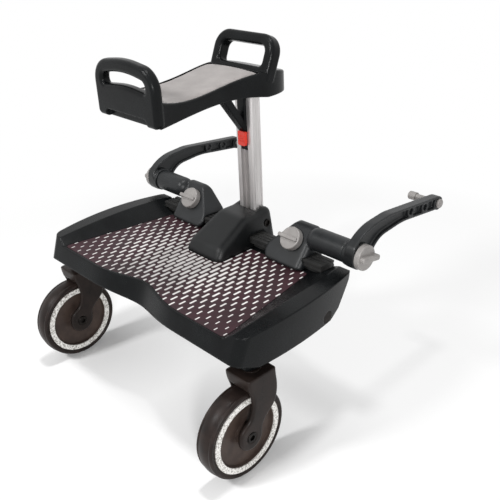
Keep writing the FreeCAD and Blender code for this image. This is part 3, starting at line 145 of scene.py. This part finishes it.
def nylonCaster():
    # Caster mouldings in a warm brown-black nylon, satin with a faint flow mottling.
    look = {"grainMm": 1.0, "cloudMm": 20, "speckMm": 2.2, "dark": "#1d1816", "light": "#2a221f",
            "dust": 0.16, "dustTone": "#4a403b", "gloss": 0.32, "bump": 0.16, "depthMm": 0.25, "edgeMm": 0.9}
    mat, shader, coords = newMaterial("nylonCaster", ior=1.53, specular=0.12)
    mouldedSkin(mat, shader, coords, look)
    return mat


def nylonWheelPaintedLight():
    # Wheel discs in a browner nylon, with painted light: drawn lighter than the forks to make up for the
    # shade the discs sit in.
    look = {"grainMm": 1.0, "cloudMm": 16, "speckMm": 2.2, "dark": "#382e2a", "light": "#483c36",
            "dust": 0.16, "dustTone": "#5d5049", "gloss": 0.38, "bump": 0.16, "depthMm": 0.25, "edgeMm": 0.9}
    mat, shader, coords = newMaterial("nylonWheelPaintedLight", ior=1.53, specular=0.16)
    mouldedSkin(mat, shader, coords, look)
    return mat


def absGrey():
    # Moulded satin ABS on knobs and hitch pins: a warm mid grey with a fine even grain.
    look = {"grainMm": 0.8, "cloudMm": 16, "speckMm": 1.9, "dark": "#85817f", "light": "#93908d",
            "dust": 0.10, "dustTone": "#77736f", "gloss": 0.38, "bump": 0.14, "depthMm": 0.2, "edgeMm": 0.6}
    mat, shader, coords = newMaterial("absGrey", ior=1.54, specular=0.4)
    mouldedSkin(mat, shader, coords, look)
    return mat


def acetalRed():
    # Red acetal latch: waxy, evenly coloured, a little glossy.
    look = {"grainMm": 0.7, "cloudMm": 9, "speckMm": 1.6, "dark": "#e23729", "light": "#f04737",
            "dust": 0.05, "dustTone": "#f0695a", "gloss": 0.30, "bump": 0.10, "depthMm": 0.15, "edgeMm": 0.5}
    mat, shader, coords = newMaterial("acetalRed", ior=1.48, specular=0.4)
    mouldedSkin(mat, shader, coords, look)
    return mat


def nylonNatural():
    # Moulded bushes in natural nylon, milky and a little waxy.
    look = {"grainMm": 0.8, "cloudMm": 8, "speckMm": 1.8, "dark": "#cfccc2", "light": "#dad7ce",
            "dust": 0.05, "dustTone": "#bdb9ae", "gloss": 0.38, "bump": 0.08, "depthMm": 0.15, "edgeMm": 0.3}
    mat, shader, coords = newMaterial("nylonNatural", ior=1.53)
    mouldedSkin(mat, shader, coords, look)
    return mat


def rubberTyre():
    # Moulded thermoplastic rubber tyre: brown-black and dull, under a bloom of pale dust.
    look = {"grainMm": 1.1, "cloudMm": 14, "speckMm": 2.4, "dark": "#1c1614", "light": "#2a211e",
            "dust": 0.20, "dustTone": "#4d423d", "gloss": 0.40, "bump": 0.24, "depthMm": 0.3, "edgeMm": 0.6}
    mat, shader, coords = newMaterial("rubberTyre", ior=1.52, specular=0.16)
    mouldedSkin(mat, shader, coords, look)
    return mat


def reflectiveFilm():
    # Glass-bead reflective ring: white, with the mottled grey of beads set unevenly in the resin.
    # The real beads are under 0.1 mm and are drawn at 1.5 mm so that they show.
    look = {"beadMm": 1.5, "blotchMm": 3.2, "resin": "#8d8983", "bead": "#eceae6", "bump": 0.25,
            "depthMm": 0.2, "edgeMm": 0.3}
    mat, shader, coords = newMaterial("reflectiveFilm", ior=1.5, specular=0.4)
    bead = addNode(mat, "TexVoronoi", {"Vector": coords, "Scale": 1/(look["beadMm"]*mm)}, "Color")
    bead = addNode(mat, "SeparateColor", (bead,))
    blotch = addNode(mat, "TexNoise", {"Vector": coords, "Scale": 1/(look["blotchMm"]*mm), "Detail": 5.0,
                                       "Roughness": 0.7})
    single = addNode(mat, "MapRange", (bead, 0.0, 0.5))
    patch = addNode(mat, "MapRange", (blotch, 0.34, 0.50))
    shade = addNode(mat, "Math", (single, patch), operation="MULTIPLY")
    tone = addNode(mat, "Mix", {0: shade, 6: look["resin"], 7: look["bead"]}, 2, data_type="RGBA")
    gloss = addNode(mat, "MapRange", (blotch, 0.3, 0.7, 0.30, 0.46))
    surface(mat, shader, tone, gloss, bead, look["bump"], look["depthMm"], look["edgeMm"])
    return mat


def anodisedAluminium():
    # Satin anodised extrusion: silver, with die lines running up the post.
    # Real die lines are about 0.2 mm apart and are drawn at 0.8 mm so that they show.
    look = {"lineMm": 0.8, "stretch": 0.012, "cloudMm": 30, "dark": "#bfbcbb", "light": "#d6d3d2",
            "bump": 0.12, "depthMm": 0.1, "edgeMm": 0.4}
    mat, shader, coords = newMaterial("anodisedAluminium", ior=1.5, metallic=0.8)
    stretched = addNode(mat, "Mapping", {"Vector": coords, "Scale": (1.0, 1.0, look["stretch"])})
    lines = addNode(mat, "TexNoise", {"Vector": stretched, "Scale": 1/(look["lineMm"]*mm), "Detail": 4.0})
    cloud = addNode(mat, "TexNoise", {"Vector": coords, "Scale": 1/(look["cloudMm"]*mm), "Detail": 3.0})
    streak = addNode(mat, "MapRange", (lines, 0.3, 0.7))
    tone = addNode(mat, "Mix", {0: streak, 6: look["dark"], 7: look["light"]}, 2, data_type="RGBA")
    sharp = addNode(mat, "MapRange", (lines, 0.3, 0.7, 0.36, 0.48))
    slow = addNode(mat, "MapRange", (cloud, 0.3, 0.7, -0.03, 0.04))
    gloss = addNode(mat, "Math", (sharp, slow), operation="ADD")
    surface(mat, shader, tone, gloss, lines, look["bump"], look["depthMm"], look["edgeMm"])
    return mat


def platedMetal(name, tones, blotchMm, fineMm, rough):
    # A plated or turned metal: blotchy film over tool marks, drawn coarser than the real 0.1 mm to show.
    relief = {"bump": 0.08, "depthMm": 0.1, "edgeMm": 0.25}
    mat, shader, coords = newMaterial(name, ior=1.5, metallic=1.0)
    blotch = addNode(mat, "TexNoise", {"Vector": coords, "Scale": 1/(blotchMm*mm), "Detail": 5.0})
    marks = addNode(mat, "TexNoise", {"Vector": coords, "Scale": 1/(fineMm*mm), "Detail": 2.0})
    film = addNode(mat, "MapRange", (blotch, 0.35, 0.65))
    tone = addNode(mat, "Mix", {0: film, 6: tones[0], 7: tones[1]}, 2, data_type="RGBA")
    gloss = addNode(mat, "MapRange", (blotch, 0.3, 0.7, rough[0], rough[1]))
    surface(mat, shader, tone, gloss, marks, relief["bump"], relief["depthMm"], relief["edgeMm"])
    return mat


def zincSteel():
    # Bright zinc-plated steel: cool grey with blotchy passivation.
    return platedMetal("zincSteel", ("#a5a6a8", "#bfc0c2"), blotchMm=5, fineMm=0.7, rough=(0.28, 0.42))


def blackenedSteel():
    # Black zinc on bolt and pin heads: near black, with a dull oily gloss.
    return platedMetal("blackenedSteel", ("#1c1a19", "#2c2927"), blotchMm=4, fineMm=0.7, rough=(0.34, 0.48))


def turnedBrass():
    # Turned brass inserts: warm yellow under a dulling film.
    return platedMetal("turnedBrass", ("#a88a4c", "#c3a562"), blotchMm=4, fineMm=0.6, rough=(0.26, 0.42))


def evaFoam():
    # Soft-touch EVA pad: warm light grey, matt, with a pebbled skin and slight scuffing.
    look = {"pebbleMm": 1.4, "cloudMm": 24, "scuffMm": 2.0, "dark": "#928d8b", "light": "#a29d9b",
            "scuffTone": "#837e7c", "sheen": 0.12, "sheenSpread": 0.6, "bump": 0.25, "depthMm": 0.3,
            "edgeMm": 0.8}
    mat, shader, coords = newMaterial("evaFoam", ior=1.46, specular=0.26)
    pebble = addNode(mat, "TexVoronoi", {"Vector": coords, "Scale": 1/(look["pebbleMm"]*mm)})
    cloud = addNode(mat, "TexNoise", {"Vector": coords, "Scale": 1/(look["cloudMm"]*mm), "Detail": 5.0})
    fine = addNode(mat, "TexNoise", {"Vector": coords, "Scale": 1/(look["scuffMm"]*mm), "Detail": 3.0})
    drift = addNode(mat, "MapRange", (cloud, 0.32, 0.68))
    scuff = addNode(mat, "MapRange", (fine, 0.55, 0.75, 0.0, 0.35))
    tone = addNode(mat, "Mix", {0: drift, 6: look["dark"], 7: look["light"]}, 2, data_type="RGBA")
    tone = addNode(mat, "Mix", {0: scuff, 6: tone, 7: look["scuffTone"]}, 2, data_type="RGBA")
    gloss = addNode(mat, "MapRange", (cloud, 0.3, 0.7, 0.60, 0.72))
    shader.inputs["Sheen Weight"].default_value = look["sheen"]
    shader.inputs["Sheen Roughness"].default_value = look["sheenSpread"]
    surface(mat, shader, tone, gloss, pebble, look["bump"], look["depthMm"], look["edgeMm"])
    return mat


# Print of the mat, in millimetres: dashes at full size in the middle, shrinking towards the reach
matPrint = {"pitchX": 7.6, "pitchY": 19.0, "halfLength": 6.6, "halfWidth": 2.35, "edge": 0.22,
            "reachX": 176.0, "reachY": 118.0, "centreY": -65.5, "least": 0.30, "most": 1.0, "fullShare": 0.12,
            "cloudMm": 30, "pebbleMm": 1.3, "matDark": "#2a171c", "matLight": "#392127",
            "inkDark": "#d9d5d3", "inkLight": "#eceae8", "bump": 0.22, "depthMm": 0.3, "edgeMm": 0.3}


def printedElastomer():
    # Aubergine elastomer mat with staggered rows of white printed dashes, larger towards the middle.
    mat, shader, coords = newMaterial("printedElastomer", ior=1.5, specular=0.26)
    p = matPrint
    x = addNode(mat, "SeparateXYZ", (coords,), "X")
    y = addNode(mat, "SeparateXYZ", (coords,), "Y")
    x = addNode(mat, "Math", (x, mm), operation="DIVIDE")
    y = addNode(mat, "Math", (y, mm), operation="DIVIDE")
    column = addNode(mat, "Math", (x, p["pitchX"]), operation="DIVIDE")
    column = addNode(mat, "Math", (column,), operation="FLOOR")
    odd = addNode(mat, "Math", (column, 2.0), operation="FLOORED_MODULO")
    stagger = addNode(mat, "Math", (odd, 0.5), operation="MULTIPLY")
    along = addNode(mat, "Math", (y, 1/p["pitchY"], stagger), operation="MULTIPLY_ADD")
    row = addNode(mat, "Math", (along,), operation="FLOOR")
    centreX = addNode(mat, "Math", (column, p["pitchX"], p["pitchX"]/2), operation="MULTIPLY_ADD")
    row = addNode(mat, "Math", (row, stagger), operation="SUBTRACT")
    centreY = addNode(mat, "Math", (row, p["pitchY"], p["pitchY"]/2), operation="MULTIPLY_ADD")
    offX = addNode(mat, "Math", (centreX, p["reachX"]), operation="DIVIDE")
    offY = addNode(mat, "Math", (centreY, p["centreY"]), operation="SUBTRACT")
    offY = addNode(mat, "Math", (offY, p["reachY"]), operation="DIVIDE")
    away = addNode(mat, "CombineXYZ", (offX, offY))
    far = addNode(mat, "VectorMath", (away,), "Value", operation="LENGTH")
    size = addNode(mat, "MapRange", (far, p["fullShare"], 1.0, p["most"], p["least"]))
    acrossX = addNode(mat, "Math", (x, centreX), operation="SUBTRACT")
    alongY = addNode(mat, "Math", (y, centreY), operation="SUBTRACT")
    alongY = addNode(mat, "Math", (alongY,), operation="ABSOLUTE")
    reach = addNode(mat, "Math", (size, p["halfLength"]), operation="MULTIPLY")
    pastEnd = addNode(mat, "Math", (alongY, reach), operation="SUBTRACT")
    pastEnd = addNode(mat, "Math", (pastEnd, 0.0), operation="MAXIMUM")
    apart = addNode(mat, "CombineXYZ", (acrossX, pastEnd))
    apart = addNode(mat, "VectorMath", (apart,), "Value", operation="LENGTH")
    width = addNode(mat, "Math", (size, p["halfWidth"]), operation="MULTIPLY")
    inside = addNode(mat, "Math", (width, apart), operation="SUBTRACT")
    ink = addNode(mat, "MapRange", (inside, -p["edge"], p["edge"]))
    cloud = addNode(mat, "TexNoise", {"Vector": coords, "Scale": 1/(p["cloudMm"]*mm), "Detail": 5.0})
    pebble = addNode(mat, "TexVoronoi", {"Vector": coords, "Scale": 1/(p["pebbleMm"]*mm)})
    drift = addNode(mat, "MapRange", (cloud, 0.33, 0.67))
    base = addNode(mat, "Mix", {0: drift, 6: p["matDark"], 7: p["matLight"]}, 2, data_type="RGBA")
    white = addNode(mat, "Mix", {0: drift, 6: p["inkDark"], 7: p["inkLight"]}, 2, data_type="RGBA")
    tone = addNode(mat, "Mix", {0: ink, 6: base, 7: white}, 2, data_type="RGBA")
    height = addNode(mat, "Math", (pebble, 0.5, ink), operation="MULTIPLY_ADD")
    gloss = addNode(mat, "MapRange", (cloud, 0.3, 0.7, 0.50, 0.62))
    surface(mat, shader, tone, gloss, height, p["bump"], p["depthMm"], p["edgeMm"])
    return mat


finishes = {
    "polypropyleneBlack": (polypropyleneBlack, ("deck_shell", "seat_shell", "brace", "suspension_arm")),
    "polypropyleneTower": (polypropyleneTower, ("tower",)),
    "nylonCharcoal": (nylonCharcoal, ("housing", "curved_arm")),
    "nylonRibbed": (nylonRibbed, ("connector_rail",)),
    "nylonCaster": (nylonCaster, ("fork", "swivel_bush")),
    "nylonWheelPaintedLight": (nylonWheelPaintedLight, ("hub",)),
    "absGrey": (absGrey, ("clamp_knob", "arm_knob", "hitch_pin")),
    "acetalRed": (acetalRed, ("latch",)),
    "nylonNatural": (nylonNatural, ("wheel_bushes",)),
    "rubberTyre": (rubberTyre, ("tyre",)),
    "reflectiveFilm": (reflectiveFilm, ("reflector_rings",)),
    "anodisedAluminium": (anodisedAluminium, ("post",)),
    "zincSteel": (zincSteel, ("rail_screws", "tower_screws", "suspension_spring", "kingpin", "clamp_stud",
                              "arm_stud", "brace_screws")),
    "blackenedSteel": (blackenedSteel, ("post_bolt", "hinge_pin", "axle")),
    "turnedBrass": (turnedBrass, ("clamp_insert", "pivot_insert")),
    "printedElastomer": (printedElastomer, ("deck_mat",)),
    "evaFoam": (evaFoam, ("seat_pad",)),
}
materials = {}


def dressNodes():
    for name, (make, stems) in finishes.items():
        materials[name] = make()
        for stem in stems:
            for node in (stem, stem + "_left", stem + "_right"):
                if node in nodes:
                    nodes[node].data.materials.clear()
                    nodes[node].data.materials.append(materials[name])
    bare = [name for name, node in nodes.items() if not node.data.materials]
    print("finishes given:", len(materials), "nodes without one:", bare)


dressNodes()


# A piece's own solid in an even mesh, with its corners eased
easing = {"mergeMm": 0.01, "factor": 0.5}


def evenCopy(node, name, voxel, rounds):
    mesh = nodes[node].data.copy()
    shape = bmesh.new()
    shape.from_mesh(mesh)
    bmesh.ops.remove_doubles(shape, verts=shape.verts, dist=easing["mergeMm"]*mm)
    bmesh.ops.recalc_face_normals(shape, faces=shape.faces)
    shape.to_mesh(mesh)
    shape.free()
    obj = bpy.data.objects.new(name, mesh)
    bpy.context.scene.collection.objects.link(obj)
    bpy.context.view_layer.objects.active = obj
    voxels = obj.modifiers.new("voxels", "REMESH")
    voxels.mode = "VOXEL"
    voxels.voxel_size = voxel*mm
    even = obj.modifiers.new("even", "SMOOTH")
    even.factor = easing["factor"]
    even.iterations = rounds
    for modifier in ("voxels", "even"):
        bpy.ops.object.modifier_apply(modifier=modifier)
    for polygon in obj.data.polygons:
        polygon.use_smooth = True
    return obj


# Mouldings whose faces flow into each other: tower, elbow housings, curved arms and forks.
# Each has its voxel in millimetres and its rounds of smoothing.
mouldings = {
    "tower": {"voxel": 1.4, "rounds": 7, "slot": "black_plastic", "bodies": {"": "board"}},
    "housing": {"voxel": 0.8, "rounds": 16, "slot": "black_plastic",
                "bodies": {"_left": "connector_left", "_right": "connector_right"}},
    "curved_arm": {"voxel": 0.7, "rounds": 10, "slot": "black_plastic",
                   "bodies": {"_left": "hitch_arm_left", "_right": "hitch_arm_right"}},
    "fork": {"voxel": 0.9, "rounds": 10, "slot": "caster_plastic",
             "bodies": {"_left": "caster_left", "_right": "caster_right"}},
}


def easedMouldings():
    for stem, size in mouldings.items():
        for side, body in size["bodies"].items():
            node = stem + side
            piece = evenCopy(node, "eased_" + node, size["voxel"], size["rounds"])
            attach(piece, body)
            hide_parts(node)
            print(piece.name, len(piece.data.polygons), "faces")


easedMouldings()


def pressedSprings():
    for side in sides:
        node = "suspension_spring_" + side
        spring = bpy.data.objects.new("pressed_" + node, nodes[node].data.copy())
        bpy.context.scene.collection.objects.link(spring)
        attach(spring, "board")
        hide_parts(node)
        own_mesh(spring)
    print("springs set")


pressedSprings()


# Saddle pad, puffed from its own solid, with its voxel, shrink and cap in millimetres
padSize = {"voxel": 2.4, "rounds": 4, "shrink": 0.5, "pressure": 4.0, "frames": 20, "cap": 1.0, "levels": 1}


def saddlePad():
    pad = evenCopy("seat_pad", "saddlePad", padSize["voxel"], padSize["rounds"])
    for vertex in pad.data.vertices:
        vertex.co -= vertex.normal*padSize["shrink"]*mm
    start = [vertex.co.copy() for vertex in pad.data.vertices]
    cloth = pad.modifiers.new("cloth", "CLOTH")
    cloth.settings.use_pressure = True
    cloth.settings.uniform_pressure_force = padSize["pressure"]
    cloth.settings.effector_weights.gravity = 0
    for step in range(1, padSize["frames"] + 1):
        bpy.context.scene.frame_set(step)
    bpy.ops.object.modifier_apply(modifier="cloth")
    bpy.context.scene.frame_set(1)
    for vertex, before in zip(pad.data.vertices, start):
        moved = vertex.co - before
        if moved.length > padSize["cap"]*mm:
            vertex.co = before + moved.normalized()*padSize["cap"]*mm
    smooth = pad.modifiers.new("smooth", "SUBSURF")
    smooth.levels = padSize["levels"]
    smooth.render_levels = padSize["levels"]
    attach(pad, "saddle")
    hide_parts("seat_pad")
    print("saddle pad:", len(pad.data.polygons), "faces")


saddlePad()


# Studio: floor, light and camera, in metres and watts
# openWhite and wheelWhite are shares of a painted white glow over the floor's shadow, in the open and at the
# wheels.
studio = {"floorHalf": 6.0, "floorTone": "#fdfdfd", "floorRough": 0.95, "aim": (0, 0, 0.2),
          "openWhite": 0.66, "wheelWhite": 0.0, "wheelNear": 0.05, "wheelFar": 0.21, "fadeStart": 0.30,
          "fadeEnd": 0.75, "worldLight": 0.34,
          "lamps": {"keyLight": (32.0, 0.45, (-0.6, -1.9, 2.0)), "topLight": (18.0, 0.3, (0.1, 0.0, 2.4)),
                    "frontLight": (24.0, 0.28, (1.7, -1.3, 1.0))}}  # watts, width and place


def seenWhite(mat):
    # 1 where the camera, a gloss or a clear body looks at a surface, and 0 for its light on the object.
    rays = ("Is Camera Ray", "Is Glossy Ray", "Is Transmission Ray")
    views = [addNode(mat, "LightPath", out=ray) for ray in rays]
    seen = addNode(mat, "Math", views[:2], operation="MAXIMUM")
    return addNode(mat, "Math", (seen, views[2]), operation="MAXIMUM")


def studioFloor():
    floor = bmesh.new()
    bmesh.ops.create_circle(floor, cap_ends=True, segments=64, radius=studio["floorHalf"])
    mesh = bpy.data.meshes.new("studioFloor")
    floor.to_mesh(mesh)
    floor.free()
    obj = bpy.data.objects.new("studioFloor", mesh)
    bpy.context.scene.collection.objects.link(obj)
    # Matt studio paper under a painted white glow that camera and gloss rays see: none near the wheels, so
    # their shadow stays, and more further out, so the object's other shadows melt into white.
    mat, shader, coords = newMaterial("paperSweepPaintedGlow", ior=1.5, specular=0.0)
    shader.inputs["Base Color"].default_value = hexColour(studio["floorTone"])
    shader.inputs["Roughness"].default_value = studio["floorRough"]
    away = addNode(mat, "VectorMath", (coords,), "Value", operation="LENGTH")
    gaps = []
    for side in sides:
        low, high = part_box("tyre_" + side)
        foot = ((low.x + high.x)/2, (low.y + high.y)/2, 0.0)
        gaps.append(addNode(mat, "VectorMath", (coords, foot), "Value", operation="DISTANCE"))
    gap = addNode(mat, "Math", gaps, operation="MINIMUM")
    fade = addNode(mat, "MapRange", (gap, studio["wheelNear"], studio["wheelFar"], studio["wheelWhite"],
                                     studio["openWhite"]))
    rise = addNode(mat, "MapRange", (away, studio["fadeStart"], studio["fadeEnd"]))
    fade = addNode(mat, "Math", (fade, rise), operation="MAXIMUM")
    fade = addNode(mat, "Math", (fade, seenWhite(mat)), operation="MULTIPLY")
    glow = addNode(mat, "Emission", ((1, 1, 1, 1), 1.0))
    blend = addNode(mat, "MixShader", (fade, shader.outputs[0], glow))
    mat.node_tree.links.new(blend, mat.node_tree.nodes["Material Output"].inputs["Surface"])
    mesh.materials.append(mat)


def softLight(name, watts, size, place):
    lamp = bpy.data.lights.new(name, "AREA")
    lamp.energy = watts
    lamp.shape = "DISK"
    lamp.size = size
    obj = bpy.data.objects.new(name, lamp)
    bpy.context.scene.collection.objects.link(obj)
    obj.location = place
    obj.rotation_euler = (Vector(studio["aim"]) - Vector(place)).to_track_quat("-Z", "Y").to_euler()


def studioWorld():
    world = bpy.data.worlds.new("studioWorld")
    bpy.context.scene.world = world
    world.use_nodes = True
    light = world.node_tree.nodes["Background"]
    light.inputs["Color"].default_value = (1, 1, 1, 1)
    light.inputs["Strength"].default_value = studio["worldLight"]
    white = addNode(world, "Background", ((1, 1, 1, 1), 1.0))
    blend = addNode(world, "MixShader", (seenWhite(world), light.outputs[0], white))
    world.node_tree.links.new(blend, world.node_tree.nodes["World Output"].inputs["Surface"])


# The camera stands where the photograph's view puts it, on the board's own axes.
cameraFit = {"azimuth": 47.46, "elevation": 27.08, "roll": 2.61, "focalPixels": 700.0, "imagePixels": 500.0,
             "sensorMm": 36.0, "clipMetres": 100, "place": (629.2, -536.1, 586.5)}


def studioCamera():
    azimuth = math.radians(cameraFit["azimuth"])
    elevation = math.radians(cameraFit["elevation"])
    roll = math.radians(cameraFit["roll"])
    ahead = -Vector((math.sin(azimuth)*math.cos(elevation), -math.cos(azimuth)*math.cos(elevation),
                     math.sin(elevation)))
    right = Vector((math.cos(azimuth), math.sin(azimuth), 0))
    down = ahead.cross(right)
    turnedRight = right*math.cos(roll) + down*math.sin(roll)
    turnedUp = right*math.sin(roll) - down*math.cos(roll)
    lens = bpy.data.cameras.new("studioCamera")
    lens.sensor_width = cameraFit["sensorMm"]
    lens.lens = cameraFit["sensorMm"]*cameraFit["focalPixels"]/cameraFit["imagePixels"]
    lens.clip_end = cameraFit["clipMetres"]
    obj = bpy.data.objects.new("studioCamera", lens)
    bpy.context.scene.collection.objects.link(obj)
    turn = Matrix((turnedRight, turnedUp, -ahead)).transposed()
    obj.matrix_world = Matrix.Translation(Vector(cameraFit["place"])*mm) @ turn.to_4x4()
    bpy.context.scene.camera = obj


studioFloor()
studioWorld()
for name, (watts, size, place) in studio["lamps"].items():
    softLight(name, watts, size, place)
studioCamera()
bpy.context.scene.view_settings.view_transform = "Standard"
print("studio set")
